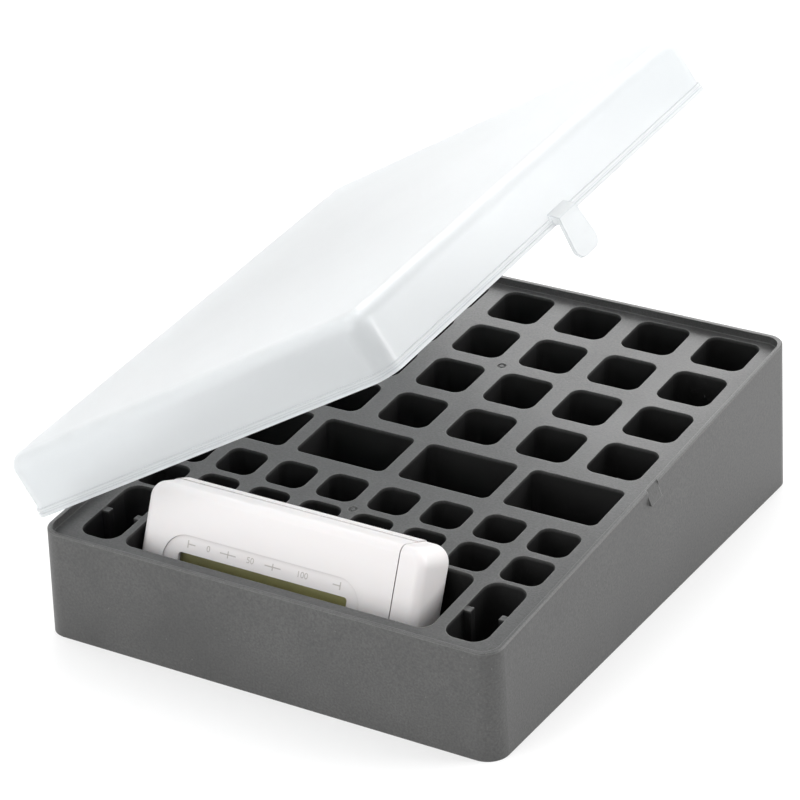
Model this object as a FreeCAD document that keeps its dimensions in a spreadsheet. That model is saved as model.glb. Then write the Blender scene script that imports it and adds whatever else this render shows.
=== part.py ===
"""Battery organizer: a grey base with a pocket for each cell, a hinged milky lid
and a small battery tester that leans in a pocket of its own.

Millimetres and degrees. +X runs to the right, +Y to the rear and +Z up, and the
origin is on the surface that the base stands on, under the middle of the base.
The lid stands part open and the tester leans back, as the organizer is shown.
"""
import FreeCAD, Part
import math
import os
import re

import Sketcher
from FreeCAD import Placement, Rotation, Vector

SIZES = {
    # Base: a skirt with draft, a sloped deck inside it and a rim that stands above the deck
    "base_width": 136.0,
    "base_depth": 164.7,
    "base_corner": 5.8,
    "base_draft": 0.97,
    "base_tall": 52.0,
    "side_wall": 1.8,
    "rear_wall": 2.65,
    "rim_height": 37.0,
    "rim_above_deck": 2.3,
    "rim_inner_width": 132.4,
    "rim_inner_depth": 161.6,
    "rim_inner_shift": 0.12,
    "rim_inner_corner": 4.6,
    "rim_bevel": 0.35,
    "deck_slope": 4.58,
    "deck_thickness": 1.8,
    # Pockets: mouth sizes, pitches and the places of the first pocket of each group
    "pocket_floor": 2.4,
    "cup_bottom": 0.8,
    "cup_wall": 1.4,
    "cup_reach": 42.6,
    "pocket_draft": 0.3,
    "aa_width": 15.8,
    "aa_depth": 15.4,
    "aa_corner": 3.3,
    "aa_columns": 6,
    "aa_rows": 4,
    "aa_pitch": 21.3,
    "aa_row_pitch": 19.84,
    "aa_front_row": 11.3,
    "block_width": 27.5,
    "block_depth": 18.0,
    "block_corner": 2.2,
    "block_columns": 4,
    "block_pitch": 31.55,
    "block_row": -10.0,
    "aaa_width": 12.1,
    "aaa_depth": 11.65,
    "aaa_corner": 3.2,
    "aaa_columns": 8,
    "aaa_rows": 2,
    "aaa_pitch": 15.74,
    "aaa_row_pitch": 13.7,
    "aaa_front_row": -43.1,
    "pair_width": 12.0,
    "pair_depth": 25.4,
    "pair_corner": 4.2,
    "pair_columns": 2,
    "pair_spread": 109.1,
    "front_row": -62.7,
    "centre_rib": 1.4,
    "pair_rib_reach": 2.0,
    "pair_rib_thickness": 2.0,
    "pair_rib_drop": 0.45,
    "tester_pocket_width": 91.8,
    "tester_pocket_shift": -0.7,
    "tester_pocket_corner": 3.6,
    "gate_radius": 1.3,
    "gate_sink": 0.35,
    "gate_nub_radius": 0.55,
    "gate_rear": 41.1,
    "gate_front": -37.1,
    # Catch for the lid's latch, on the right wall
    "latch_place": 1.0,
    "catch_width": 5.8,
    "catch_proud": 1.1,
    "catch_inset": 0.6,
    "catch_height": 4.5,
    # Hinge along the left wall
    "hinge_out": 4.75,
    "hinge_drop": 1.15,
    "knuckles": 2,
    "ears_per_knuckle": 2,
    "hinge_spread": 104.0,
    "pin_short": 0.2,
    "knuckle_radius": 2.4,
    "knuckle_length": 9.0,
    "ear_radius": 2.7,
    "ear_thickness": 3.0,
    "ear_web": 6.0,
    "ear_below_rim": 0.45,
    "hinge_side_gap": 0.25,
    "pin_radius": 1.25,
    "pin_clearance": 0.05,
    # Lid: a shallow tray, upside down
    "lid_open": 31.7,
    "lid_gap": 0.2,
    "lid_width": 133.8,
    "lid_depth": 163.8,
    "lid_height": 17.4,
    "lid_corner": 5.5,
    "lid_draft": 0.6,
    "lid_edge": 4.0,
    "lid_wall": 1.5,
    "bead_out": 0.6,
    "groove_out": 0.2,
    "upper_out": 0.5,
    "bead_lower": 0.9,
    "bead_groove": 0.55,
    "bead_upper": 0.75,
    "tab_root_width": 8.4,
    "tab_tip_width": 11.2,
    "tab_corner": 3.0,
    "tab_thickness": 1.0,
    "tab_off_catch": 0.2,
    "tab_reach": 10.2,
    "tab_root": 2.0,
    "barb": 0.5,
    "barb_below_catch": 0.3,
    "barb_height": 2.2,
    # Tester: two shells and a jaw that slides to the right
    "tester_width": 83.1,
    "tester_height": 37.0,
    "tester_thickness": 14.4,
    "tester_corner": 4.6,
    "tester_edge": 2.4,
    "tester_lean": 22.8,
    "tester_place": -4.3,
    "tester_forward": -75.7,
    "tester_lift": 7.3,
    "shell_wall": 1.5,
    "shell_split": 8.6,
    "rear_shell_proud": 0.3,
    "shell_corner": 3.0,
    "jaw_width": 7.55,
    "jaw_gap": 0.3,
    "bezel_width": 59.4,
    "bezel_height": 20.4,
    "bezel_corner": 7.0,
    "bezel_place": -4.5,
    "bezel_bottom": 4.6,
    "bezel_sink": 0.4,
    "window_width": 51.0,
    "window_height": 12.4,
    "window_corner": 0.9,
    "window_place": -4.2,
    "window_bottom": 7.8,
    "pane_lap": 1.4,
    "pane_thickness": 1.0,
    "display_lap": 3.2,
    "display_thickness": 2.2,
    "strip_height": 2.0,
    "strip_inset": 4.0,
    "board_width": 59.6,
    "board_height": 32.0,
    "board_place": -3.6,
    "board_bottom": 2.5,
    "board_front": 7.2,
    "board_thickness": 1.2,
    "boss_radius": 2.2,
    "boss_spread": 65.0,
    "boss_place": -3.5,
    "boss_low": 5.0,
    "boss_rise": 26.5,
    "post_radius": 1.8,
    "post_spread": 48.0,
    "post_height": 30.0,
    "screw_radius": 0.8,
    "screw_pilot": 0.85,
    "screw_clear": 1.1,
    "screw_head_radius": 1.8,
    "screw_head_height": 1.1,
    "head_crown_share": 0.8,
    "screw_sink": 0.15,
    "screw_play": 0.3,
    "screw_room": 0.4,
    "recess_length": 1.9,
    "recess_width": 0.4,
    "recess_depth": 0.6,
    "jaw_screw_length": 6.4,
    "shell_screw_length": 8.6,
    "board_screw_length": 5.2,
    "bar_height": 8.0,
    "bar_bottom": 13.0,
    "bar_thickness": 2.4,
    "bar_front": 10.0,
    "bar_in_jaw": 3.8,
    "bar_play": 0.3,
    "lug_width": 2.0,
    "lug_top": 27.6,
    "spring_radius": 1.5,
    "spring_bore": 1.05,
    "spring_height": 25.6,
    "spring_left": -36.3,
    "spring_right": -14.3,
    "spring_anchor_radius": 1.0,
    "anchor_width": 2.2,
    "peg_length": 2.4,
    "contact_size": 8.0,
    "contact_height": 24.0,
    "contact_front": 3.0,
    "contact_depth": 5.0,
    "contact_thickness": 0.4,
    "pad_radius": 2.0,
    "pad_thickness": 0.6,
    "pad_play": 0.05,
    "pad_low": 10.0,
    "pad_rise": 15.5,
    "pad_back": 4.6,
    "chip_radius": 3.6,
    "chip_height": 1.1,
    "chip_shoulder_share": 0.86,
    "chip_crown_share": 0.5,
    "chip_place": 13.0,
    "chip_level": 28.5,
    "resistors": 3,
    "resistor_length": 2.0,
    "resistor_width": 1.25,
    "resistor_height": 0.6,
    "resistor_first": 0.0,
    "resistor_pitch": 3.6,
    "resistor_level": 30.0,
    "wiper_length": 9.0,
    "wiper_width": 4.0,
    "wiper_thickness": 0.3,
    "wiper_foot": 2.4,
    "wiper_left": -6.0,
    "wiper_level": 15.0,
    "wiper_off_bar": 0.1,
}

# How near two places lie that count as one, and a quarter turn
NEAR = 1e-3
QUARTER = math.pi / 2
# A spacing with this value takes the offset of its pattern
OWN_OFFSET = -1.0
DECK_HEIGHT = "rim_height - rim_above_deck / cos(deck_slope)"
RIM_SIDE = "base_width / 2 - rim_height * tan(base_draft)"
HINGE_X = f"-({RIM_SIDE} + hinge_out)"
HINGE_Z = "-hinge_drop"
HINGE_PITCH = "knuckle_length + ear_thickness + 2 * hinge_side_gap"

# The groups of pockets: how many and how far apart, then the mouth of one and its row and shift
PITCHES = {
    "aa": ("aa_columns", "aa_pitch", "aa_rows", "aa_row_pitch"),
    "block": ("block_columns", "block_pitch"),
    "aaa": ("aaa_columns", "aaa_pitch", "aaa_rows", "aaa_row_pitch"),
    "pair": ("pair_columns", "pair_spread"),
    "tester": (),
}
MOUTHS = {
    "aa": ("aa_width", "aa_depth", "aa_corner", "aa_front_row", "0"),
    "block": ("block_width", "block_depth", "block_corner", "block_row", "0"),
    "aaa": ("aaa_width", "aaa_depth", "aaa_corner", "aaa_front_row", "0"),
    "pair": ("pair_width", "pair_depth", "pair_corner", "front_row", "0"),
    "tester": (
        "tester_pocket_width", "pair_depth", "tester_pocket_corner", "front_row", "tester_pocket_shift",
    ),
}

document = FreeCAD.newDocument("battery_organizer")
sheet = document.addObject("Spreadsheet::Sheet", "Sizes")
for row, (alias, value) in enumerate(SIZES.items(), start=1):
    sheet.set(f"A{row}", alias)
    sheet.set(f"B{row}", str(value))
    sheet.setAlias(f"B{row}", alias)
document.recompute()
parts = []


def on_sheet(formula):
    """A formula in the sheet's aliases, written so that any object can be bound to it."""
    return re.sub(r"[a-z_]+", lambda word: "Sizes." + word[0] if word[0] in SIZES else word[0], formula)


def size(formula):
    """The present value of a formula in the sheet's aliases."""
    return float(sheet.evalExpression(on_sheet(formula).replace("Sizes.", "")))


def bind(thing, **formulas):
    for name, formula in formulas.items():
        thing.setExpression(name, on_sheet(formula))


def new_body(name):
    body = document.addObject("PartDesign::Body", name)
    body.Label = name
    parts.append(body)
    return body


def origin_feature(body, role):
    return next(item for item in body.Origin.OriginFeatures if item.Role == role)


def new_sketch(body, name, plane="XY_Plane", height="0"):
    """A sketch on one of the body's own planes, raised along that plane's normal."""
    sketch = body.newObject("Sketcher::SketchObject", name)
    support = origin_feature(body, plane) if isinstance(plane, str) else plane
    sketch.AttachmentSupport = [(support, "")]
    sketch.MapMode = "FlatFace"
    sketch.setExpression("AttachmentOffset.Base.z", on_sheet(height))
    return sketch


def constrain(sketch, formula, *arguments):
    """A dimension bound to the sheet. The arguments name its kind and the points that it holds."""
    index = sketch.addConstraint(Sketcher.Constraint(*arguments, size(formula)))
    sketch.setExpression(f"Constraints[{index}]", on_sheet(formula))


def outline(sketch, width, depth, corner, x="0", y="0"):
    """A rectangle with rounded corners, its middle at x, y."""
    first = len(sketch.Geometry)
    w, d, r, cx, cy = (size(text) for text in (width, depth, corner, x, y))
    spans = [
        ((r - w / 2, -d / 2), (w / 2 - r, -d / 2)),
        ((w / 2, r - d / 2), (w / 2, d / 2 - r)),
        ((w / 2 - r, d / 2), (r - w / 2, d / 2)),
        ((-w / 2, d / 2 - r), (-w / 2, r - d / 2)),
    ]
    middle = Vector(cx, cy)
    for start, end in spans:
        sketch.addGeometry(Part.LineSegment(middle + Vector(*start), middle + Vector(*end)))
    turns = [(1, -1, 3), (1, 1, 0), (-1, 1, 1), (-1, -1, 2)]
    for across, along, quarter in turns:
        centre = middle + Vector(across * (w / 2 - r), along * (d / 2 - r))
        circle = Part.Circle(centre, Vector(0, 0, 1), r)
        begin = quarter * QUARTER
        sketch.addGeometry(Part.ArcOfCircle(circle, begin, begin + QUARTER))
    for side in range(4):
        line, arc, next_line = first + side, first + 4 + side, first + (side + 1) % 4
        sketch.addConstraint(Sketcher.Constraint("Tangent", line, 2, arc, 1))
        sketch.addConstraint(Sketcher.Constraint("Tangent", arc, 2, next_line, 1))
        way = "Horizontal" if side % 2 == 0 else "Vertical"
        sketch.addConstraint(Sketcher.Constraint(way, line))
        if side:
            sketch.addConstraint(Sketcher.Constraint("Equal", first + 4, arc))
    constrain(sketch, corner, "Radius", first + 4)
    constrain(sketch, width, "DistanceX", first + 3, 1, first + 1, 1)
    constrain(sketch, depth, "DistanceY", first, 1, first + 2, 1)
    constrain(sketch, f"{x} - ({width}) / 2", "DistanceX", -1, 1, first + 3, 1)
    constrain(sketch, f"{y} - ({depth}) / 2", "DistanceY", -1, 1, first, 1)


def polygon(sketch, points):
    """A closed outline of straight lines through points given as pairs of formulas."""
    first = len(sketch.Geometry)
    places = [Vector(size(x), size(y)) for x, y in points]
    for index, place in enumerate(places):
        sketch.addGeometry(Part.LineSegment(place, places[(index + 1) % len(places)]))
    for index, (x, y) in enumerate(points):
        line, after = first + index, first + (index + 1) % len(points)
        sketch.addConstraint(Sketcher.Constraint("Coincident", line, 2, after, 1))
        constrain(sketch, x, "DistanceX", -1, 1, line, 1)
        constrain(sketch, y, "DistanceY", -1, 1, line, 1)


def rectangle(sketch, left, right, bottom, top):
    polygon(sketch, [(left, bottom), (right, bottom), (right, top), (left, top)])


def circle(sketch, radius, x="0", y="0"):
    index = sketch.addGeometry(Part.Circle(Vector(size(x), size(y)), Vector(0, 0, 1), size(radius)))
    constrain(sketch, radius, "Radius", index)
    constrain(sketch, x, "DistanceX", -1, 1, index, 3)
    constrain(sketch, y, "DistanceY", -1, 1, index, 3)


def finish(body, feature, cuts=False):
    """Makes a feature the body's tip, and stops the build where it has changed nothing or failed."""
    earlier = feature.BaseFeature or (body.Tip if body.Tip is not feature else None)
    before = earlier.Shape.Volume if earlier else 0.0
    body.Tip = feature
    document.recompute()
    if "Invalid" in feature.State or "Error" in feature.State or feature.Shape.isNull():
        raise RuntimeError(f"{body.Label}: {feature.Name} failed: {feature.State}")
    change = feature.Shape.Volume - before
    if (cuts and change >= 0) or (not cuts and change <= 0):
        raise RuntimeError(f"{body.Label}: {feature.Name} changed the volume by {change:.3f}")
    return feature


def extrude(body, kind, sketch, length=None, taper=None, along=True, midplane=False, up_to=None):
    """A pad or a pocket of a sketch, along its plane's normal or against it.

    It runs to a length, up to a plane or right through.
    """
    cuts = kind == "Pocket"
    feature = body.newObject("PartDesign::" + kind, sketch.Name + "_" + kind.lower())
    feature.Profile = sketch
    feature.Reversed = along if cuts else not along
    feature.Midplane = midplane
    feature.Refine = False
    if up_to is not None:
        feature.Type = "UpToFace"
        feature.UpToFace = (up_to, [""])
    elif length is None:
        feature.Type = "ThroughAll"
    else:
        feature.Type = "Length"
        bind(feature, Length=length)
    if taper is not None:
        bind(feature, TaperAngle=taper)
    return finish(body, feature, cuts)


def pad(body, sketch, length, **options):
    return extrude(body, "Pad", sketch, length, **options)


def pocket(body, sketch, length=None, **options):
    return extrude(body, "Pocket", sketch, length, **options)


def pattern(body, feature, axes, columns, pitch, rows=None, row_pitch=None):
    """Repeats a feature along the first axis of a sketch, and along the second where rows are given."""
    grid = body.newObject("PartDesign::LinearPattern", feature.Name + "_pattern")
    grid.Originals = [feature]
    grid.Direction = (axes[0], [axes[1]])
    grid.Mode = "Spacing"
    grid.Refine = False
    bind(grid, Occurrences=columns, Offset=pitch)
    if rows:
        grid.Direction2 = (axes[0], [axes[2]])
        grid.Mode2 = "Spacing"
        grid.Occurrences2 = int(size(rows))
        grid.Spacings2 = [OWN_OFFSET] * len(grid.Spacings2)
        bind(grid, Occurrences2=rows, Offset2=row_pitch)
    return finish(body, grid, cuts="pocket" in feature.Name)


def edges_where(feature, test):
    return [f"Edge{n}" for n, edge in enumerate(feature.Shape.Edges, start=1) if test(edge)]


def dress(body, kind, feature, edges, amount, cuts=True):
    """A fillet or a chamfer on named edges of a feature. It fills an inner edge and cuts an outer one."""
    made = body.newObject("PartDesign::" + kind, feature.Name + "_" + kind.lower())
    made.Base = (feature, edges)
    bind(made, **{"Radius" if kind == "Fillet" else "Size": amount})
    return finish(body, made, cuts)


def tilted_plane(body, name, role, **place):
    """A plane turned by the deck's slope about the X axis, from one of the body's own planes."""
    plane = body.newObject("PartDesign::Plane", name)
    plane.AttachmentSupport = [(origin_feature(body, role), "")]
    plane.MapMode = "FlatFace"
    plane.AttachmentOffset = Placement(Vector(), Rotation(Vector(1, 0, 0), size("deck_slope")))
    plane.setExpression("AttachmentOffset.Rotation.Angle", on_sheet("deck_slope"))
    for axis, height in place.items():
        plane.setExpression("AttachmentOffset.Base." + axis, on_sheet(height))
    return plane


def lobe(sketch, radius, start, end, corners):
    """A round eye about the hinge's axis whose outline runs on through the corners of its arm.

    The start and the end are where the arc meets the arm: a kind of dimension and its formula.
    """
    r, cx, cy = size(radius), size(HINGE_X), size(HINGE_Z)
    angles = []
    for turn, (kind, formula) in zip((0, 1), (start, end)):
        if kind == "DistanceX":
            quarters = 1 if turn == 0 else 3
            angles.append(quarters * QUARTER)
        else:
            angles.append(turn * 4 * QUARTER + math.asin((size(formula) - cy) / r))
    arc = sketch.addGeometry(Part.ArcOfCircle(Part.Circle(Vector(cx, cy), Vector(0, 0, 1), r), *angles))
    bends = [Vector(size(x), size(y)) for x, y in corners]
    places = [sketch.getPoint(arc, 2), *bends, sketch.getPoint(arc, 1)]
    lines = [sketch.addGeometry(Part.LineSegment(*ends)) for ends in zip(places, places[1:])]
    sketch.addConstraint(Sketcher.Constraint("Coincident", arc, 2, lines[0], 1))
    for line, after in zip(lines, lines[1:]):
        sketch.addConstraint(Sketcher.Constraint("Coincident", line, 2, after, 1))
    sketch.addConstraint(Sketcher.Constraint("Coincident", lines[-1], 2, arc, 1))
    constrain(sketch, radius, "Radius", arc)
    constrain(sketch, HINGE_X, "DistanceX", -1, 1, arc, 3)
    constrain(sketch, HINGE_Z, "DistanceY", -1, 1, arc, 3)
    constrain(sketch, start[1], start[0], -1, 1, arc, 1)
    constrain(sketch, end[1], end[0], -1, 1, arc, 2)
    for line, (x, y) in zip(lines, corners):
        constrain(sketch, x, "DistanceX", -1, 1, line, 2)
        constrain(sketch, y, "DistanceY", -1, 1, line, 2)


def from_front(body, name, back="0"):
    """A sketch seen from the front: across and up, at a distance back from the front face."""
    return new_sketch(body, name, "XZ_Plane", f"-({back})")


def lay(thing, name, pose):
    """Names a piece, places it and adds it to the parts that are written."""
    thing.Label = name
    thing.Placement = pose
    document.recompute()
    parts.append(thing)


def box(name, left, front, bottom, width, depth, height):
    """A plain block in the tester, from its left front lower corner."""
    block = document.addObject("Part::Box", name)
    bind(block, Length=width, Width=depth, Height=height)
    corner = Vector(size(left), size(front), size(bottom))
    lay(block, name, TESTER_POSE.multiply(Placement(corner, Rotation())))


def cups(name):
    """The outsides of a group of cups, which reach up through the deck."""
    width, depth, corner, row, shift = MOUTHS[name]
    grown = (f"{width} + 2 * cup_wall", f"{depth} + 2 * cup_wall", f"{corner} + cup_wall")
    sketch = new_sketch(base, name + "_cup", height="cup_bottom")
    outline(sketch, *grown, first_column(name, shift), row)
    cup = pad(base, sketch, "cup_reach")
    if PITCHES[name]:
        pattern(base, cup, (sketch, "H_Axis", "V_Axis"), *PITCHES[name])


def cells(name):
    """A group of pockets, each a little narrower at its floor than at the deck."""
    width, depth, corner, row, shift = MOUTHS[name]
    less = f"(({DECK_HEIGHT}) - pocket_floor) * tan(pocket_draft)"
    sketch = new_sketch(base, name + "_pocket", height="pocket_floor")
    narrowed = (f"{width} - 2 * {less}", f"{depth} - 2 * {less}", f"{corner} - {less}")
    outline(sketch, *narrowed, first_column(name, shift), row)
    cut = pocket(base, sketch, "cup_reach", taper="pocket_draft")
    if PITCHES[name]:
        pattern(base, cut, (sketch, "H_Axis", "V_Axis"), *PITCHES[name])


def first_column(name, shift):
    """Where the first pocket of a group stands, so that the group is even about its shift."""
    if not PITCHES[name]:
        return shift
    columns, pitch = PITCHES[name][:2]
    return f"{shift} - ({columns} - 1) * {pitch} / 2"


# Where the rim's own axes, the lid and the tester stand: each is drawn upright in axes of its own
RIM_POSE = Placement(Vector(0, 0, size("rim_height")), Rotation(Vector(1, 0, 0), size("deck_slope")))
hinge_spot = Vector(size(HINGE_X), 0, size(HINGE_Z))
swing = Placement(Vector(), Rotation(Vector(0, -1, 0), size("lid_open")), hinge_spot)
LID_POSE = RIM_POSE.multiply(swing)
tester_spot = Vector(size("tester_place"), size("tester_forward"), size("tester_lift"))
TESTER_POSE = Placement(tester_spot, Rotation(Vector(1, 0, 0), -size("tester_lean")))


# Base: one moulding, the skirt, the sloped deck and a closed cup under each pocket
base = new_body("base")
deck_top = tilted_plane(base, "deck_top", "XY_Plane", z=DECK_HEIGHT)
deck_underside = tilted_plane(base, "deck_underside", "XY_Plane", z=f"{DECK_HEIGHT} - deck_thickness")
rim_top = tilted_plane(base, "rim_top", "XY_Plane", z="rim_height")

skirt = new_sketch(base, "skirt")
outline(skirt, "base_width", "base_depth", "base_corner")
pad(base, skirt, "base_tall", taper="-base_draft")

above_rim = new_sketch(base, "above_rim", rim_top)
rectangle(above_rim, "-base_width", "base_width", "-base_depth", "base_depth")
trimmed = pocket(base, above_rim)


def on_rim(edge):
    return all(abs(RIM_POSE.inverse().multVec(spot.Point).z) < NEAR for spot in edge.Vertexes)


dress(base, "Chamfer", trimmed, edges_where(trimmed, on_rim), "rim_bevel")

# Catch for the lid's latch: a ramp that starts inside the rim and ends proud of the wall, flat underneath
rim_section = tilted_plane(base, "rim_section", "XZ_Plane", y="rim_height")
catch_face = f"{RIM_SIDE} + catch_proud"
catch_root = f"{RIM_SIDE} - catch_inset"
catch = new_sketch(base, "catch", rim_section, "-latch_place")
polygon(catch, [(catch_root, "-catch_height"), (catch_face, "-catch_height"), (catch_root, "0")])
pad(base, catch, "catch_width", midplane=True)
over_catch = new_sketch(base, "over_catch", rim_section, "-latch_place")
polygon(over_catch, [
    (catch_root, "0"),
    (catch_face, "-catch_height"),
    (catch_face, "catch_height"),
    (catch_root, "catch_height"),
])
pocket(base, over_catch, "catch_width", midplane=True)

# Hinge ears on the left wall, two for each knuckle of the lid, with holes for its pins
ear = new_sketch(base, "ear", rim_section, f"-(hinge_spread + {HINGE_PITCH}) / 2")
wall_middle = f"-({RIM_SIDE} - side_wall / 4)"
lobe(ear, "ear_radius", ("DistanceY", "-ear_below_rim"), ("DistanceX", HINGE_X), [
    (wall_middle, "-hinge_drop - ear_web"),
    (wall_middle, "-ear_below_rim"),
])
circle(ear, "pin_radius + pin_clearance", HINGE_X, HINGE_Z)
first_ear = pad(base, ear, "ear_thickness", midplane=True)
both_along = (ear, "N_Axis", "N_Axis")
pattern(base, first_ear, both_along, "ears_per_knuckle", HINGE_PITCH, "knuckles", "hinge_spread")

# The underside: a hollow up to the deck, the centre rib and the cups that hang in it
hollow = new_sketch(base, "hollow")
inner_width = "base_width - 2 * side_wall"
inner_depth = "base_depth - side_wall - rear_wall"
outline(hollow, inner_width, inner_depth, "base_corner - side_wall", y="(side_wall - rear_wall) / 2")
pocket(base, hollow, up_to=deck_underside)

rib = new_sketch(base, "centre_rib_outline")
rib_ends = ("front_row + pair_depth / 2", "(base_depth - rear_wall) / 2")
rectangle(rib, "-centre_rib / 2", "centre_rib / 2", *rib_ends)
pad(base, rib, "cup_reach")

for name in MOUTHS:
    cups(name)

recess = new_sketch(base, "recess", deck_top)
outline(recess, "rim_inner_width", "rim_inner_depth", "rim_inner_corner", y="-rim_inner_shift")
pocket(base, recess)

# Two moulding gates, each a shallow ring around the nub that the runner left
gates = new_sketch(base, "gates", deck_top)
for place in ("gate_rear", "gate_front"):
    circle(gates, "gate_radius", y=place)
    circle(gates, "gate_nub_radius", y=place)
pocket(base, gates, "gate_sink", along=False)

for name in MOUTHS:
    cells(name)

# Ribs that keep the two small cells of a corner pocket apart
pair_ribs = new_sketch(base, "pair_ribs", height="pocket_floor")
rib_sides = ("front_row - pair_rib_thickness / 2", "front_row + pair_rib_thickness / 2")
for middle in ("-pair_spread / 2", "pair_spread / 2"):
    rectangle(
        pair_ribs,
        f"{middle} - (pair_width + cup_wall) / 2",
        f"{middle} - (pair_width / 2 - pair_rib_reach)",
        *rib_sides,
    )
    rectangle(
        pair_ribs,
        f"{middle} + (pair_width / 2 - pair_rib_reach)",
        f"{middle} + (pair_width + cup_wall) / 2",
        *rib_sides,
    )
pad(base, pair_ribs, f"{DECK_HEIGHT} + front_row * tan(deck_slope) - pair_rib_drop - pocket_floor")


# Lid: a shallow translucent tray with a beaded lip, two hinge knuckles with moulded pins and a latch tab
lid = new_body("lid")
shell = new_sketch(lid, "shell", height="lid_gap")
outline(shell, "lid_width", "lid_depth", "lid_corner")
raised = pad(lid, shell, "lid_height - lid_gap", taper="-lid_draft")


def at_height(formula):
    """A test for edges that lie level at a height."""
    return lambda edge: all(abs(spot.Point.z - size(formula)) < NEAR for spot in edge.Vertexes)


dress(lid, "Fillet", raised, edges_where(raised, at_height("lid_height")), "lid_edge")
tray = new_sketch(lid, "tray", height="lid_gap")
outline(tray, "lid_width - 2 * lid_wall", "lid_depth - 2 * lid_wall", "lid_corner - lid_wall")
hollowed = pocket(lid, tray, "lid_height - lid_gap - lid_wall", taper="-lid_draft")
inner_edges = edges_where(hollowed, at_height("lid_height - lid_wall"))
dress(lid, "Fillet", hollowed, inner_edges, "lid_edge - lid_wall", cuts=False)

beads = [
    ("bead_lower", "lid_gap", "bead_out"),
    ("bead_groove", "lid_gap + bead_lower", "groove_out"),
    ("bead_upper", "lid_gap + bead_lower + bead_groove", "upper_out"),
]
for thickness, height, out in beads:
    ring = new_sketch(lid, thickness + "_ring", height=height)
    outline(ring, f"lid_width + 2 * {out}", f"lid_depth + 2 * {out}", f"lid_corner + {out}")
    outline(ring, "lid_width - lid_wall", "lid_depth - lid_wall", "lid_corner - lid_wall / 2")
    pad(lid, ring, thickness)

knuckle = new_sketch(lid, "knuckle", "XZ_Plane", "-hinge_spread / 2")
arm_end = "-(lid_width / 2 - lid_wall / 2)"
lobe(knuckle, "knuckle_radius", ("DistanceX", HINGE_X), ("DistanceY", "lid_gap"), [
    (arm_end, "lid_gap"),
    (arm_end, f"{HINGE_Z} + knuckle_radius"),
])
first_knuckle = pad(lid, knuckle, "knuckle_length", midplane=True)
pattern(lid, first_knuckle, (knuckle, "N_Axis", None), "knuckles", "hinge_spread")
pin = new_sketch(lid, "pin", "XZ_Plane", "-hinge_spread / 2")
circle(pin, "pin_radius", HINGE_X, HINGE_Z)
pin_length = "knuckle_length + 2 * (hinge_side_gap + ear_thickness - pin_short)"
first_pin = pad(lid, pin, pin_length, midplane=True)
pattern(lid, first_pin, (pin, "N_Axis", None), "knuckles", "hinge_spread")

# The latch tab: a paddle that widens to its tip, a root that joins it to the lip, and a barb inside it
tab_inner = f"{catch_face} + tab_off_catch"
lip_top = "lid_gap + bead_lower + bead_groove"
tab = new_sketch(lid, "tab", "YZ_Plane", tab_inner)
polygon(tab, [
    ("latch_place - tab_root_width / 2", lip_top),
    ("latch_place - tab_tip_width / 2", "-tab_reach"),
    ("latch_place + tab_tip_width / 2", "-tab_reach"),
    ("latch_place + tab_root_width / 2", lip_top),
])
hung = pad(lid, tab, "tab_thickness")


def tab_corner(edge):
    """A test for the two edges through the thickness of the tab at its tip."""
    ends = [spot.Point for spot in edge.Vertexes]
    through = abs(ends[0].x - ends[-1].x) > NEAR
    return through and all(spot.z < NEAR - size("tab_reach") for spot in ends)


dress(lid, "Fillet", hung, edges_where(hung, tab_corner), "tab_corner")
tab_base = new_sketch(lid, "tab_base", "XZ_Plane", "-latch_place")
polygon(tab_base, [
    ("lid_width / 2 - lid_wall / 2", "lid_gap"),
    (f"{tab_inner} + tab_thickness", "lid_gap"),
    (f"{tab_inner} + tab_thickness", lip_top),
    ("lid_width / 2", f"{lip_top} + tab_root"),
    ("lid_width / 2 - lid_wall / 2", f"{lip_top} + tab_root"),
])
pad(lid, tab_base, "tab_root_width", midplane=True)
barb_top = "-(catch_height + barb_below_catch)"
hook = new_sketch(lid, "hook", "XZ_Plane", "-latch_place")
polygon(hook, [
    (f"{tab_inner} + tab_thickness / 2", barb_top),
    (f"{tab_inner} - barb", barb_top),
    (f"{tab_inner} - barb", f"{barb_top} - barb"),
    (tab_inner, f"{barb_top} - barb_height"),
    (f"{tab_inner} + tab_thickness / 2", f"{barb_top} - barb_height"),
])
pad(lid, hook, "catch_width", midplane=True)
lid.Placement = LID_POSE


# Tester: a front and a rear shell, with a jaw that slides out of their right-hand end
BODY_RIGHT = "tester_width / 2 - jaw_width"
BACK = "tester_thickness"


def rounded_envelope(body, name, height="tester_height"):
    """The tester's whole outer form, from which each shell and the jaw are cut."""
    face = from_front(body, name)
    outline(face, "tester_width", height, "tester_corner", y=f"({height}) / 2")
    whole = pad(body, face, BACK, along=False)

    def around(edge):
        depths = [spot.Point.y for spot in edge.Vertexes]
        level = max(depths) - min(depths) < NEAR
        return level and min(abs(depths[0]), abs(depths[0] - size(BACK))) < NEAR

    return dress(body, "Fillet", whole, edges_where(whole, around), "tester_edge")


def keep(body, name, left, right, front, back):
    """Cuts away what lies outside a span across the tester and from front to rear."""
    far = "tester_width"
    cuts = []
    if left:
        cuts.append((f"-{far}", left, f"-{far}", far))
    if right:
        cuts.append((right, far, f"-{far}", far))
    if front:
        cuts.append((f"-{far}", far, f"-{far}", front))
    if back:
        cuts.append((f"-{far}", far, back, far))
    for number, (low_x, high_x, low_y, high_y) in enumerate(cuts, start=1):
        sketch = new_sketch(body, f"{name}_{number}")
        rectangle(sketch, low_x, high_x, low_y, high_y)
        pocket(body, sketch, midplane=True)


def across_posts(body, name, back, places, radius, length=None, along=True, cut=False):
    """A row of round bosses, or of round holes, each at its own place across and up."""
    sketch = from_front(body, name, back)
    for x, y in places:
        circle(sketch, radius, x, y)
    extrude(body, "Pocket" if cut else "Pad", sketch, length, along=along)


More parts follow.
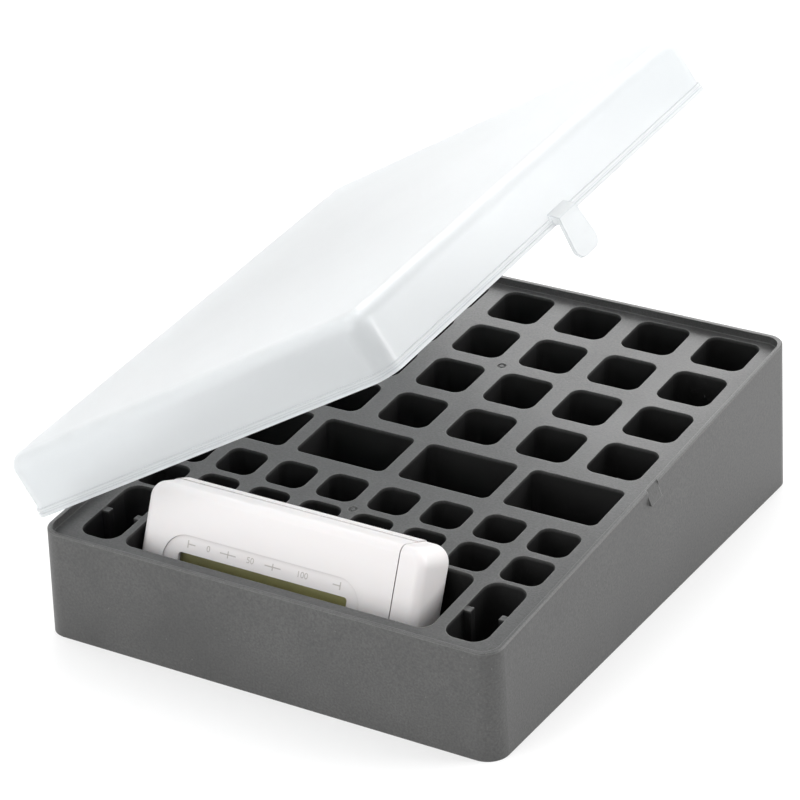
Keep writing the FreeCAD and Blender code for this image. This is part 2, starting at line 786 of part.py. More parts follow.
boss_places = [
    (f"boss_place {side} boss_spread / 2", level)
    for side in ("-", "+")
    for level in ("boss_low", "boss_low + boss_rise")
]
post_places = [(f"boss_place {side} post_spread / 2", "post_height") for side in ("-", "+")]

front_shell = new_body("tester_front_shell")
rounded_envelope(front_shell, "front_face")
keep(front_shell, "front_half", None, BODY_RIGHT, None, "shell_split")
inside_width = "tester_width - jaw_width - 2 * shell_wall"
inside_height = "tester_height - 2 * shell_wall"
front_room = from_front(front_shell, "front_room", "shell_split")
outline(front_room, inside_width, inside_height, "shell_corner", "-jaw_width / 2", "tester_height / 2")
pocket(front_shell, front_room, "shell_split - shell_wall")
bezel = from_front(front_shell, "bezel")
bezel_middle = "bezel_bottom + bezel_height / 2"
outline(bezel, "bezel_width", "bezel_height", "bezel_corner", "bezel_place", bezel_middle)
pocket(front_shell, bezel, "bezel_sink", along=False)
opening = from_front(front_shell, "opening")
window_middle = "window_bottom + window_height / 2"
outline(opening, "window_width", "window_height", "window_corner", "window_place", window_middle)
pocket(front_shell, opening, "shell_wall", along=False)
across_posts(
    front_shell, "bosses", "shell_split", boss_places, "boss_radius", "shell_split - shell_wall / 2"
)
across_posts(front_shell, "posts", "board_front", post_places, "post_radius", "board_front - shell_wall / 2")
shaft_end = "tester_thickness - screw_head_height - screw_sink - shell_screw_length"
across_posts(
    front_shell, "boss_holes", "shell_split", boss_places, "screw_pilot",
    f"shell_split - ({shaft_end}) + screw_room", cut=True,
)
across_posts(
    front_shell, "post_holes", "board_front", post_places, "screw_pilot",
    "board_screw_length - board_thickness + screw_room", cut=True,
)
disc_places = [("-tester_width / 2", level) for level in ("pad_low", "pad_low + pad_rise")]
pad_seats = new_sketch(front_shell, "pad_seats", "YZ_Plane", "-tester_width / 2")
for _, level in disc_places:
    circle(pad_seats, "pad_radius", "pad_back", level)
pocket(front_shell, pad_seats, "pad_thickness")
contact_seat = new_sketch(front_shell, "contact_seat", "YZ_Plane", BODY_RIGHT)
contact_span = (
    "contact_front", "contact_front + contact_depth",
    "contact_height", "contact_height + contact_size",
)
rectangle(contact_seat, *contact_span)
pocket(front_shell, contact_seat, "contact_thickness", along=False)
front_shell.Placement = TESTER_POSE

rear_shell = new_body("tester_rear_shell")
rounded_envelope(rear_shell, "rear_face", "tester_height + rear_shell_proud")
keep(rear_shell, "rear_half", None, BODY_RIGHT, "shell_split", None)
rear_room = from_front(rear_shell, "rear_room", "shell_split")
outline(rear_room, inside_width, inside_height, "shell_corner", "-jaw_width / 2", "tester_height / 2")
rear_room_depth = "tester_thickness - shell_split - shell_wall"
pocket(rear_shell, rear_room, rear_room_depth, along=False)
across_posts(
    rear_shell, "tubes", "shell_split", boss_places, "boss_radius",
    f"{rear_room_depth} + shell_wall / 2", along=False,
)
across_posts(rear_shell, "tube_holes", "shell_split", boss_places, "screw_clear", along=False, cut=True)
head_depth = "screw_head_height + screw_sink"
across_posts(
    rear_shell, "head_seats", BACK, boss_places, "screw_head_radius + screw_play", head_depth, cut=True,
)
slot = from_front(rear_shell, "bar_slot", "bar_front - bar_play")
rectangle(
    slot, f"{BODY_RIGHT} - 2 * shell_wall", f"{BODY_RIGHT} + shell_wall",
    "bar_bottom - bar_play", "bar_bottom + bar_height + bar_play",
)
pocket(rear_shell, slot, "bar_thickness + 2 * bar_play", along=False)
anchor = from_front(rear_shell, "spring_anchor", "bar_front - bar_play")
rectangle(
    anchor, "spring_left - anchor_width", "spring_left",
    "spring_height - spring_radius", "spring_height + spring_radius",
)
pad(rear_shell, anchor, "tester_thickness - shell_wall / 2 - bar_front + bar_play", along=False)
peg = new_sketch(rear_shell, "spring_peg", "YZ_Plane", "spring_left - anchor_width / 2")
circle(peg, "spring_anchor_radius", "bar_front + bar_thickness / 2", "spring_height")
pad(rear_shell, peg, "peg_length + anchor_width / 2")
rear_shell.Placement = TESTER_POSE

# Tester: the display behind its pane, the strip that joins it to the board, and the board
pane_left = "window_place - window_width / 2 - pane_lap"
box(
    "tester_window", pane_left, "shell_wall", "window_bottom - pane_lap",
    "window_width + 2 * pane_lap", "pane_thickness", "window_height + 2 * pane_lap",
)
display_left = "window_place - window_width / 2 - display_lap"
display_front = "shell_wall + pane_thickness"
box(
    "display_glass", display_left, display_front, "window_bottom - display_lap",
    "window_width + 2 * display_lap", "display_thickness", "window_height + 2 * display_lap",
)
strip_front = f"{display_front} + display_thickness"
box(
    "connector_strip", f"{display_left} + strip_inset", strip_front, "window_bottom - display_lap",
    "window_width + 2 * display_lap - 2 * strip_inset", f"board_front - ({strip_front})", "strip_height",
)

board = new_body("circuit_board")
board_outline = from_front(board, "board_outline", "board_front")
board_left = "board_place - board_width / 2"
board_right = f"{board_left} + board_width"
rectangle(board_outline, board_left, board_right, "board_bottom", "board_bottom + board_height")
for x, y in post_places:
    circle(board_outline, "screw_clear", x, y)
pad(board, board_outline, "board_thickness", along=False)
board.Placement = TESTER_POSE
board_back = "board_front + board_thickness"

chip = new_body("chip_blob")
half_section = new_sketch(chip, "half_section")
blob_top = f"{board_back} + chip_height"
polygon(half_section, [
    ("0", board_back),
    ("chip_radius", board_back),
    ("chip_radius * chip_shoulder_share", f"{board_back} + chip_height / 2"),
    ("chip_radius * chip_crown_share", blob_top),
    ("0", blob_top),
])
blob = chip.newObject("PartDesign::Revolution", "blob")
blob.Profile = half_section
blob.ReferenceAxis = (half_section, ["V_Axis"])
finish(chip, blob)
chip_spot = Vector(size("chip_place"), 0, size("chip_level"))
chip.Placement = TESTER_POSE.multiply(Placement(chip_spot, Rotation()))


def group(name, members):
    """One node that holds several like solids."""
    together = document.addObject("Part::Compound", name)
    together.Links = members
    lay(together, name, TESTER_POSE)


def round_bar(name, radius, length, spot, turn):
    """A cylinder in the tester, from a spot along its turned axis."""
    made = document.addObject("Part::Cylinder", name)
    bind(made, Radius=radius, Height=length)
    made.Placement = Placement(Vector(*(size(place) for place in spot)), turn)
    return made


REARWARD = Rotation(Vector(1, 0, 0), -90)
FORWARD = Rotation(Vector(1, 0, 0), 90)
RIGHTWARD = Rotation(Vector(0, 1, 0), 90)


def screw(name, x, back, z, length):
    """A pan-head screw driven in from the rear: a coned head with a cross recess, and its shaft."""
    under_head = Vector(size(x), size(back), size(z))
    head = document.addObject("Part::Cone", name + "_head")
    crown = "screw_head_radius * head_crown_share"
    bind(head, Radius1="screw_head_radius", Radius2=crown, Height="screw_head_height")
    head.Placement = Placement(under_head, REARWARD)
    shaft = document.addObject("Part::Cylinder", name + "_shaft")
    bind(shaft, Radius="screw_radius", Height=length)
    shaft.Placement = Placement(under_head, FORWARD)
    whole = document.addObject("Part::MultiFuse", name + "_whole")
    whole.Shapes = [head, shaft]
    bars = []
    slots = [("a", "recess_length", "recess_width"), ("b", "recess_width", "recess_length")]
    for letter, wide, high in slots:
        bar = document.addObject("Part::Box", name + "_recess_" + letter)
        bind(bar, Length=wide, Width="screw_head_height", Height=high)
        corner = Vector(-size(wide) / 2, size("screw_head_height") - size("recess_depth"), -size(high) / 2)
        bar.Placement = Placement(under_head + corner, Rotation())
        bars.append(bar)
    cross = document.addObject("Part::MultiFuse", name + "_cross")
    cross.Shapes = bars
    driven = document.addObject("Part::Cut", name)
    driven.Base = whole
    driven.Tool = cross
    return driven


resistors = []
for number in range(int(size("resistors"))):
    part = document.addObject("Part::Box", f"resistor_{number + 1}")
    bind(part, Length="resistor_length", Width="resistor_height", Height="resistor_width")
    left = size("resistor_first") + number * size("resistor_pitch")
    part.Placement = Placement(Vector(left, size(board_back), size("resistor_level")), Rotation())
    resistors.append(part)
group("board_resistors", resistors)

group("board_screws", [
    screw(f"board_screw_{number}", x, board_back, z, "board_screw_length")
    for number, (x, z) in enumerate(post_places, start=1)
])
under_head = "tester_thickness - screw_head_height - screw_sink"
group("shell_screws", [
    screw(f"shell_screw_{number}", x, under_head, z, "shell_screw_length")
    for number, (x, z) in enumerate(boss_places, start=1)
])

# Tester: its contacts
box(
    "fixed_contact", f"{BODY_RIGHT} - contact_thickness", "contact_front", "contact_height",
    "contact_thickness", "contact_depth", "contact_size",
)
group("nine_volt_contacts", [
    round_bar(
        f"nine_volt_contact_{number}", "pad_radius - pad_play", "pad_thickness",
        (x, "pad_back", z), RIGHTWARD,
    )
    for number, (x, z) in enumerate(disc_places, start=1)
])
wiper = new_body("contact_wiper")
strip = new_sketch(wiper, "strip", height="wiper_level")
wiper_foot_end = "wiper_left + wiper_foot"
wiper_tip = "bar_front - wiper_off_bar"
polygon(strip, [
    ("wiper_left", board_back),
    (wiper_foot_end, board_back),
    ("wiper_left + wiper_length", f"{wiper_tip} - wiper_thickness"),
    ("wiper_left + wiper_length", wiper_tip),
    (wiper_foot_end, f"{board_back} + wiper_thickness"),
    ("wiper_left", f"{board_back} + wiper_thickness"),
])
pad(wiper, strip, "wiper_width")
wiper.Placement = TESTER_POSE

# Tester: the jaw, its bar that slides in the rear shell, and the spring that draws it in
jaw_left = f"{BODY_RIGHT} + jaw_gap"
screw_spot = (f"{jaw_left} + bar_in_jaw / 2", "bar_bottom + bar_height / 2")
jaw = new_body("tester_jaw")
rounded_envelope(jaw, "jaw_face")
keep(jaw, "jaw_end", jaw_left, None, None, None)
bar_front_to_back = ("bar_front", "bar_front + bar_thickness")
socket = new_sketch(jaw, "socket", "YZ_Plane", jaw_left)
rectangle(socket, *bar_front_to_back, "bar_bottom", "bar_bottom + bar_height")
pocket(jaw, socket, "bar_in_jaw")
core = new_sketch(jaw, "core", "YZ_Plane", jaw_left)
core_depths = ("2 * shell_wall", "tester_thickness - 2 * shell_wall")
rectangle(core, *core_depths, "2 * shell_wall", "bar_bottom - shell_wall")
pocket(jaw, core, "jaw_width - jaw_gap - shell_wall")
jaw_seat = new_sketch(jaw, "jaw_seat", "YZ_Plane", jaw_left)
rectangle(jaw_seat, *contact_span)
pocket(jaw, jaw_seat, "contact_thickness")
jaw_hole_depth = "jaw_screw_length + 2 * screw_head_height"
across_posts(jaw, "jaw_hole", BACK, [screw_spot], "screw_pilot", jaw_hole_depth, cut=True)
head_play = "screw_head_radius + screw_play"
across_posts(jaw, "jaw_head_seat", BACK, [screw_spot], head_play, head_depth, cut=True)
jaw.Placement = TESTER_POSE

bar = new_body("jaw_slide_bar")
face = from_front(bar, "bar_face", "bar_front")
bar_top = "bar_bottom + bar_height"
polygon(face, [
    ("spring_right", "bar_bottom"),
    (f"{jaw_left} + bar_in_jaw", "bar_bottom"),
    (f"{jaw_left} + bar_in_jaw", bar_top),
    ("spring_right + lug_width", bar_top),
    ("spring_right + lug_width", "lug_top"),
    ("spring_right", "lug_top"),
])
circle(face, "screw_pilot", *screw_spot)
pad(bar, face, "bar_thickness", along=False)
peg = new_sketch(bar, "bar_peg", "YZ_Plane", "spring_right + lug_width / 2")
circle(peg, "spring_anchor_radius", "bar_front + bar_thickness / 2", "spring_height")
pad(bar, peg, "peg_length + lug_width / 2", along=False)
bar.Placement = TESTER_POSE

box(
    "jaw_contact", jaw_left, "contact_front", "contact_height",
    "contact_thickness", "contact_depth", "contact_size",
)
spring_spot = ("spring_left", "bar_front + bar_thickness / 2", "spring_height")
spring_length = "spring_right - spring_left"
spring = document.addObject("Part::Cut", "jaw_spring")
spring.Base = round_bar("spring_outside", "spring_radius", spring_length, spring_spot, RIGHTWARD)
spring.Tool = round_bar("spring_inside", "spring_bore", spring_length, spring_spot, RIGHTWARD)
lay(spring, "jaw_spring", TESTER_POSE)
group("jaw_screw", [screw("jaw_screw_1", screw_spot[0], under_head, screw_spot[1], "jaw_screw_length")])

# Only the last feature of each body merges the faces that lie in one surface
for part in parts:
    if part.isDerivedFrom("PartDesign::Body"):
        part.Tip.Refine = True
document.recompute()
for item in document.Objects:
    if "Invalid" in item.State or "Error" in item.State:
        raise RuntimeError(f"{item.Label} didn't build: {item.State}")

os.makedirs("parts", exist_ok=True)
for part in parts:
    if part.Shape.isNull() or not part.Shape.isValid():
        raise RuntimeError(f"{part.Label} has no valid shape")
    part.Shape.exportStep(os.path.join("parts", part.Label + ".step"))
    print(part.Label, len(part.Shape.Solids), round(part.Shape.Volume, 1), part.Shape.BoundBox)
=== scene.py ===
import math

import bmesh
import bpy
from mathutils import Matrix, Vector


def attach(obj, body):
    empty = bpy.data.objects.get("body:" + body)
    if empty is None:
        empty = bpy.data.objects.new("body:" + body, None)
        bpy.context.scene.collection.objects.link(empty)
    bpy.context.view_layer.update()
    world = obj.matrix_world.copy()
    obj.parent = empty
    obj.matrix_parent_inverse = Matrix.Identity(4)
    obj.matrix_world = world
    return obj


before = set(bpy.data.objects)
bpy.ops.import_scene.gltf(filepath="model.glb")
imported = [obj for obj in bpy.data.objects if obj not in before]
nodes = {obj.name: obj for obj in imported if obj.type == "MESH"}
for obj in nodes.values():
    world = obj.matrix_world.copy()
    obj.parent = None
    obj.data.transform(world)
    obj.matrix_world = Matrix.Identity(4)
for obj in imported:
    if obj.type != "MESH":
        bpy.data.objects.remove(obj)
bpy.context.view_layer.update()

# The view. The camera stands where the photograph was taken, a long lens
# a little above the base's front right corner.
camera_data = bpy.data.cameras.new("camera")
camera_data.lens = 154.55
camera_data.sensor_width = 36.0
camera = bpy.data.objects.new("camera", camera_data)
camera.location = (0.42528, -0.68500, 0.46321)
camera.rotation_euler = [math.radians(angle) for angle in (62.655, 2.147, 31.176)]
bpy.context.scene.collection.objects.link(camera)
bpy.context.scene.camera = camera
bpy.context.scene.view_settings.view_transform = "Standard"

# Floor: a sheet of matt white card. The camera sees it as white as the backdrop,
# with the soft shadow that the base leaves on it. It is clear from below and under
# the base, so that the underside can be looked at.


def linear(colour):
    """An sRGB hex colour as linear red, green, blue and alpha."""
    channels = [int(colour[i:i + 2], 16) / 255 for i in (0, 2, 4)]
    return [c / 12.92 if c <= 0.04045 else ((c + 0.055) / 1.055) ** 2.4 for c in channels] + [1.0]


def add_node(tree, kind, inputs=None, **settings):
    """A shader node with its settings. An input is a value, or another node's output socket."""
    made = tree.nodes.new(kind)
    for name, value in settings.items():
        setattr(made, name, value)
    for name, value in (inputs or {}).items():
        if isinstance(value, bpy.types.NodeSocket):
            tree.links.new(value, made.inputs[name])
        else:
            made.inputs[name].default_value = value
    return made


def new_material(name):
    """An empty node material with its output, ready for one surface."""
    material = bpy.data.materials.new(name)
    material.use_nodes = True
    material.node_tree.nodes.clear()
    return material, material.node_tree, material.node_tree.nodes.new("ShaderNodeOutputMaterial")


def cover(piece, material):
    """Puts one material on the whole of a piece."""
    piece.data.materials.clear()
    piece.data.materials.append(material)


card, tree, output = new_material("matt_white_card")
card_surface = add_node(tree, "ShaderNodeBsdfDiffuse", {"Color": linear("d2d2d2")})
card_glow = add_node(tree, "ShaderNodeEmission", {"Color": linear("ffffff"), "Strength": 0.38})
card_sum = add_node(tree, "ShaderNodeAddShader", {
    0: card_surface.outputs[0], 1: card_glow.outputs[0],
})
rays = add_node(tree, "ShaderNodeLightPath")
card_glossed = add_node(tree, "ShaderNodeMath", {
    0: rays.outputs["Is Glossy Ray"], 1: rays.outputs["Is Transmission Ray"],
}, operation="MAXIMUM")
card_seen = add_node(tree, "ShaderNodeMath", {
    0: rays.outputs["Is Camera Ray"], 1: card_glossed.outputs[0],
}, operation="MAXIMUM")
card_mix = add_node(tree, "ShaderNodeMixShader", {
    "Fac": card_seen.outputs[0],
    1: card_surface.outputs[0],
    2: card_sum.outputs[0],
})
card_clear = add_node(tree, "ShaderNodeBsdfTransparent")
card_side = add_node(tree, "ShaderNodeNewGeometry")
card_place = add_node(tree, "ShaderNodeVectorMath", {
    0: add_node(tree, "ShaderNodeTexCoord").outputs["Object"],
}, operation="ABSOLUTE")
card_reach = add_node(tree, "ShaderNodeSeparateXYZ", {"Vector": card_place.outputs[0]})
# the clear part ends 4 mm inside the base's outline
clear_half_width = 0.064
clear_half_depth = 0.078
card_near_x = add_node(tree, "ShaderNodeMath", {
    0: card_reach.outputs["X"], 1: clear_half_width,
}, operation="LESS_THAN")
card_near_y = add_node(tree, "ShaderNodeMath", {
    0: card_reach.outputs["Y"], 1: clear_half_depth,
}, operation="LESS_THAN")
card_near = add_node(tree, "ShaderNodeMath", {
    0: card_near_x.outputs[0], 1: card_near_y.outputs[0],
}, operation="MULTIPLY")
card_open = add_node(tree, "ShaderNodeMath", {
    0: card_near.outputs[0], 1: card_side.outputs["Backfacing"],
}, operation="MAXIMUM")
card_either = add_node(tree, "ShaderNodeMixShader", {
    "Fac": card_open.outputs[0],
    1: card_mix.outputs[0],
    2: card_clear.outputs[0],
})
tree.links.new(card_either.outputs[0], output.inputs["Surface"])
floor_form = bmesh.new()
bmesh.ops.create_grid(floor_form, x_segments=1, y_segments=1, size=2.0)
floor_mesh = bpy.data.meshes.new("floor")
floor_form.to_mesh(floor_mesh)
floor_form.free()
floor = bpy.data.objects.new("floor", floor_mesh)
bpy.context.scene.collection.objects.link(floor)
cover(floor, card)

# Light: a pale room and four wide soft panels. One at the rear right fades along the
# right-hand wall, one is high on the left over the lid, one behind lays its sheen on
# the deck, and a low one in front lights the front wall.
room = bpy.data.worlds.new("pale_room")
room.use_nodes = True
room.node_tree.nodes.clear()
room_output = room.node_tree.nodes.new("ShaderNodeOutputWorld")
room_light = add_node(room.node_tree, "ShaderNodeBackground", {
    "Color": linear("ffffff"), "Strength": 0.72,
})
room_seen = add_node(room.node_tree, "ShaderNodeBackground", {
    "Color": linear("ffffff"), "Strength": 1.0,
})
room_rays = add_node(room.node_tree, "ShaderNodeLightPath")
glossed = add_node(room.node_tree, "ShaderNodeMath", {
    0: room_rays.outputs["Is Glossy Ray"], 1: room_rays.outputs["Is Transmission Ray"],
}, operation="MAXIMUM")
seen = add_node(room.node_tree, "ShaderNodeMath", {
    0: room_rays.outputs["Is Camera Ray"], 1: glossed.outputs[0],
}, operation="MAXIMUM")
room_mix = add_node(room.node_tree, "ShaderNodeMixShader", {
    "Fac": seen.outputs[0],
    1: room_light.outputs[0],
    2: room_seen.outputs[0],
})
room.node_tree.links.new(room_mix.outputs[0], room_output.inputs["Surface"])
bpy.context.scene.world = room


def light_panel(name, place, aim, width, height, power):
    """A wide soft lamp that looks from its place towards a point."""
    panel = bpy.data.lights.new(name, "AREA")
    panel.shape = "RECTANGLE"
    panel.size = width
    panel.size_y = height
    panel.energy = power
    lamp = bpy.data.objects.new(name, panel)
    lamp.location = place
    lamp.rotation_euler = (Vector(aim) - Vector(place)).to_track_quat("-Z", "Y").to_euler()
    bpy.context.scene.collection.objects.link(lamp)


light_panel("panel_right", (1.15, 0.75, 0.8), (0.0, 0.0, 0.03), 0.8, 0.8, 13.5)
light_panel("panel_above", (-0.75, -0.1, 1.3), (0.0, 0.0, 0.04), 1.2, 1.2, 5.9)
light_panel("panel_rear", (-0.5, 1.45, 0.9), (0.0, 0.05, 0.04), 1.8, 0.8, 20.0)
light_panel("panel_front", (-0.5, -1.5, 0.6), (0.0, 0.0, 0.04), 1.2, 0.9, 11.3)

# Base: one injection moulding in dark grey polypropylene. The tool's cavity was
# spark eroded, so the outside and the deck have a fine matt grain.
base_plastic, tree, output = new_material("polypropylene_spark_eroded_grey")
place = add_node(tree, "ShaderNodeTexCoord").outputs["Object"]
# a grain of 0.6 mm, drawn coarser than the real 0.1 mm so that it shows
grain = add_node(tree, "ShaderNodeTexNoise", {
    "Vector": place, "Scale": 1 / 0.0006, "Detail": 3.0, "Roughness": 0.6,
})
# flow and handling marks some 35 mm across
cloud = add_node(tree, "ShaderNodeTexNoise", {
    "Vector": place, "Scale": 1 / 0.035, "Detail": 4.0, "Roughness": 0.62,
})
mottle = add_node(tree, "ShaderNodeMath", {
    0: cloud.outputs["Fac"], 1: grain.outputs["Fac"],
}, operation="MULTIPLY")
shade = add_node(tree, "ShaderNodeMix", {
    0: mottle.outputs[0], 6: linear("2a2a2a"), 7: linear("767675"),
}, data_type="RGBA")
# pale specks of dust, one in each 4 mm or so
specks = add_node(tree, "ShaderNodeTexVoronoi", {"Vector": place, "Scale": 1 / 0.004})
speck_mask = add_node(tree, "ShaderNodeMapRange", {
    "Value": specks.outputs["Distance"],
    "From Min": 0.03,
    "From Max": 0.06,
    "To Min": 0.3,
    "To Max": 0.0,
})
dusted = add_node(tree, "ShaderNodeMix", {
    0: speck_mask.outputs["Result"], 6: shade.outputs[2], 7: linear("8c8c8a"),
}, data_type="RGBA")
# painted shade: inside the outer walls the pockets' walls are painted darker from
# 0.2 to 1.2 mm under the deck, and shine less there, for the shade in the deep pockets
deck_lean = math.radians(4.58)
deck_middle_height = 0.0347
pockets_half_width = 0.0655
pockets_half_depth = 0.0795
under_deck = add_node(tree, "ShaderNodeVectorMath", {
    0: place, 1: (0.0, math.sin(deck_lean), -math.cos(deck_lean)),
}, operation="DOT_PRODUCT")
deck_level = -deck_middle_height * math.cos(deck_lean)
depth = add_node(tree, "ShaderNodeMapRange", {
    "Value": under_deck.outputs["Value"],
    "From Min": deck_level + 0.0002,
    "From Max": deck_level + 0.0012,
})
from_middle = add_node(tree, "ShaderNodeVectorMath", {0: place}, operation="ABSOLUTE")
sides = add_node(tree, "ShaderNodeSeparateXYZ", {"Vector": from_middle.outputs[0]})
within_x = add_node(tree, "ShaderNodeMath", {
    0: sides.outputs["X"], 1: pockets_half_width,
}, operation="LESS_THAN")
within_y = add_node(tree, "ShaderNodeMath", {
    0: sides.outputs["Y"], 1: pockets_half_depth,
}, operation="LESS_THAN")
within = add_node(tree, "ShaderNodeMath", {
    0: within_x.outputs[0], 1: within_y.outputs[0],
}, operation="MULTIPLY")
pocket_painted_shade = add_node(tree, "ShaderNodeMath", {
    0: within.outputs[0], 1: depth.outputs["Result"],
}, operation="MULTIPLY")
rubbed = add_node(tree, "ShaderNodeMapRange", {
    "Value": cloud.outputs["Fac"], "From Min": 0.3, "From Max": 0.7, "To Min": 0.42, "To Max": 0.56,
})
# the moulding's edges are broken by 0.3 mm
soft_edge = add_node(tree, "ShaderNodeBevel", {"Radius": 0.0003}, samples=6)
# edges painted paler over 0.5 mm as a painted highlight, where the rounded normal leaves the flat
# one
flat = add_node(tree, "ShaderNodeNewGeometry")
wide_edge = add_node(tree, "ShaderNodeBevel", {"Radius": 0.0005}, samples=6)
turned = add_node(tree, "ShaderNodeVectorMath", {
    0: wide_edge.outputs[0], 1: flat.outputs["Normal"],
}, operation="DOT_PRODUCT")
edge_painted_highlight = add_node(tree, "ShaderNodeMapRange", {
    "Value": turned.outputs["Value"],
    "From Min": 0.99,
    "From Max": 0.85,
    "To Min": 0.0,
    "To Max": 0.55,
})
# painted highlight mixed into the edges' colour
edge_highlight_tone = add_node(tree, "ShaderNodeMix", {
    0: edge_painted_highlight.outputs["Result"], 6: dusted.outputs[2], 7: linear("7c7c7a"),
}, data_type="RGBA")
# painted shade mixed into the pockets' walls
tone_with_painted_shade = add_node(tree, "ShaderNodeMix", {
    0: pocket_painted_shade.outputs[0], 6: edge_highlight_tone.outputs[2], 7: linear("191919"),
}, data_type="RGBA")
# where the pockets' shade is painted, the specular level is lowered too
gloss = add_node(tree, "ShaderNodeMapRange", {
    "Value": pocket_painted_shade.outputs[0], "To Min": 0.65, "To Max": 0.35,
})
bump = add_node(tree, "ShaderNodeBump", {
    "Height": grain.outputs["Fac"],
    "Strength": 0.25,
    "Distance": 0.0002,
    "Normal": soft_edge.outputs[0],
})
surface = add_node(tree, "ShaderNodeBsdfPrincipled", {
    "Base Color": tone_with_painted_shade.outputs[2],
    "Roughness": rubbed.outputs["Result"],
    "Normal": bump.outputs["Normal"],
    "IOR": 1.49,
    "Specular IOR Level": gloss.outputs["Result"],
})
tree.links.new(surface.outputs[0], output.inputs["Surface"])
cover(nodes["base"], base_plastic)

# Lid: one thin moulding in natural polypropylene, which has no pigment and so
# is milky: light comes through it, and what lies close behind it shows as a haze.
lid_plastic, tree, output = new_material("polypropylene_natural_frosted")
place = add_node(tree, "ShaderNodeTexCoord").outputs["Object"]
flow = add_node(tree, "ShaderNodeTexNoise", {
    "Vector": place, "Scale": 1 / 0.05, "Detail": 3.0, "Roughness": 0.6,
})
frost = add_node(tree, "ShaderNodeTexNoise", {"Vector": place, "Scale": 1 / 0.0009, "Detail": 2.0})
bump = add_node(tree, "ShaderNodeBump", {
    "Height": frost.outputs["Fac"], "Strength": 0.09, "Distance": 0.0002,
})
haze = add_node(tree, "ShaderNodeMapRange", {
    "Value": flow.outputs["Fac"], "To Min": 0.24, "To Max": 0.36,
})
# its rims and ribs are seen along their length, and are painted greyer for 0.4 mm as a painted
# reflection of the dark base
flat = add_node(tree, "ShaderNodeNewGeometry")
lid_edge = add_node(tree, "ShaderNodeBevel", {"Radius": 0.0004}, samples=6)
turned = add_node(tree, "ShaderNodeVectorMath", {
    0: lid_edge.outputs[0], 1: flat.outputs["Normal"],
}, operation="DOT_PRODUCT")
edge_painted_reflection = add_node(tree, "ShaderNodeMapRange", {
    "Value": turned.outputs["Value"],
    "From Min": 0.99,
    "From Max": 0.8,
    "To Min": 0.0,
    "To Max": 0.8,
})
# mixes the painted reflection into the lid's colour
tone_with_painted_reflection = add_node(tree, "ShaderNodeMix", {
    0: edge_painted_reflection.outputs["Result"], 6: linear("f5f7f8"), 7: linear("a9aeb3"),
}, data_type="RGBA")
skin = add_node(tree, "ShaderNodeBsdfPrincipled", {
    "Base Color": tone_with_painted_reflection.outputs[2],
    "Roughness": haze.outputs["Result"],
    "Normal": bump.outputs["Normal"],
    "IOR": 1.49,
    "Transmission Weight": 0.75,
})
# the milk in it: light that enters on one side glows on the other
milk = add_node(tree, "ShaderNodeBsdfTranslucent", {"Color": linear("f1f3f4")})
surface = add_node(tree, "ShaderNodeMixShader", {
    "Fac": 0.28, 1: skin.outputs[0], 2: milk.outputs[0],
})
tree.links.new(surface.outputs[0], output.inputs["Surface"])
cover(nodes["lid"], lid_plastic)

# Tester shells, jaw and bar: moulded ABS in a warm white, with the dull satin
# that a lightly polished tool leaves.
tester_plastic, tree, output = new_material("abs_moulded_warm_white")
place = add_node(tree, "ShaderNodeTexCoord").outputs["Object"]
peel = add_node(tree, "ShaderNodeTexNoise", {"Vector": place, "Scale": 1 / 0.0012, "Detail": 2.0})
yellowing = add_node(tree, "ShaderNodeTexNoise", {
    "Vector": place, "Scale": 1 / 0.03, "Detail": 2.0,
})
tone = add_node(tree, "ShaderNodeMix", {
    0: yellowing.outputs["Fac"], 6: linear("eae6e6"), 7: linear("eeebea"),
}, data_type="RGBA")
# painted shade: steps and joints are drawn greyer over 1.2 mm, where ambient occlusion finds that
# light reaches less
corner = add_node(tree, "ShaderNodeAmbientOcclusion", {"Distance": 0.0012}, samples=8)
corner_painted_shade = add_node(tree, "ShaderNodeMapRange", {
    "Value": corner.outputs["AO"], "From Min": 0.45, "From Max": 0.95, "To Min": 0.5, "To Max": 0.0,
})
# mixes the painted shade into the shells' colour
tone_with_painted_shade = add_node(tree, "ShaderNodeMix", {
    0: corner_painted_shade.outputs["Result"], 6: tone.outputs[2], 7: linear("a8a3a2"),
}, data_type="RGBA")
bump = add_node(tree, "ShaderNodeBump", {
    "Height": peel.outputs["Fac"], "Strength": 0.05, "Distance": 0.0002,
})
surface = add_node(tree, "ShaderNodeBsdfPrincipled", {
    "Base Color": tone_with_painted_shade.outputs[2],
    "Roughness": 0.42,
    "Normal": bump.outputs["Normal"],
    "IOR": 1.52,
    "Subsurface Weight": 0.15,
    "Subsurface Radius": (0.002, 0.0015, 0.0012),
})
tree.links.new(surface.outputs[0], output.inputs["Surface"])
for name in ("tester_front_shell", "tester_rear_shell", "tester_jaw", "jaw_slide_bar"):
    cover(nodes[name], tester_plastic)

# Scale on the tester's face: grey pad print, 0.03 mm thick, on the sunk panel
# over the window. It has two end stops, two crosses and plain numbers.
tester_corner = Matrix.Translation((-0.0043, -0.0757, 0.0073))
tester_pose = tester_corner @ Matrix.Rotation(math.radians(-22.8), 4, "X")
panel_depth = 0.0004
print_thickness = 0.00003
print_ink, tree, output = new_material("pad_print_ink_grey")
ink_grain = add_node(tree, "ShaderNodeTexNoise", {
    "Vector": add_node(tree, "ShaderNodeTexCoord").outputs["Object"],
    "Scale": 1 / 0.0002,
    "Detail": 2.0,
})
# ink that has gone on unevenly, in patches of 0.2 mm
ink_tone = add_node(tree, "ShaderNodeMix", {
    0: ink_grain.outputs["Fac"], 6: linear("b3aeaa"), 7: linear("d2cdc9"),
}, data_type="RGBA")
surface = add_node(tree, "ShaderNodeBsdfPrincipled", {
    "Base Color": ink_tone.outputs[2], "Roughness": 0.5,
})
tree.links.new(surface.outputs[0], output.inputs["Surface"])


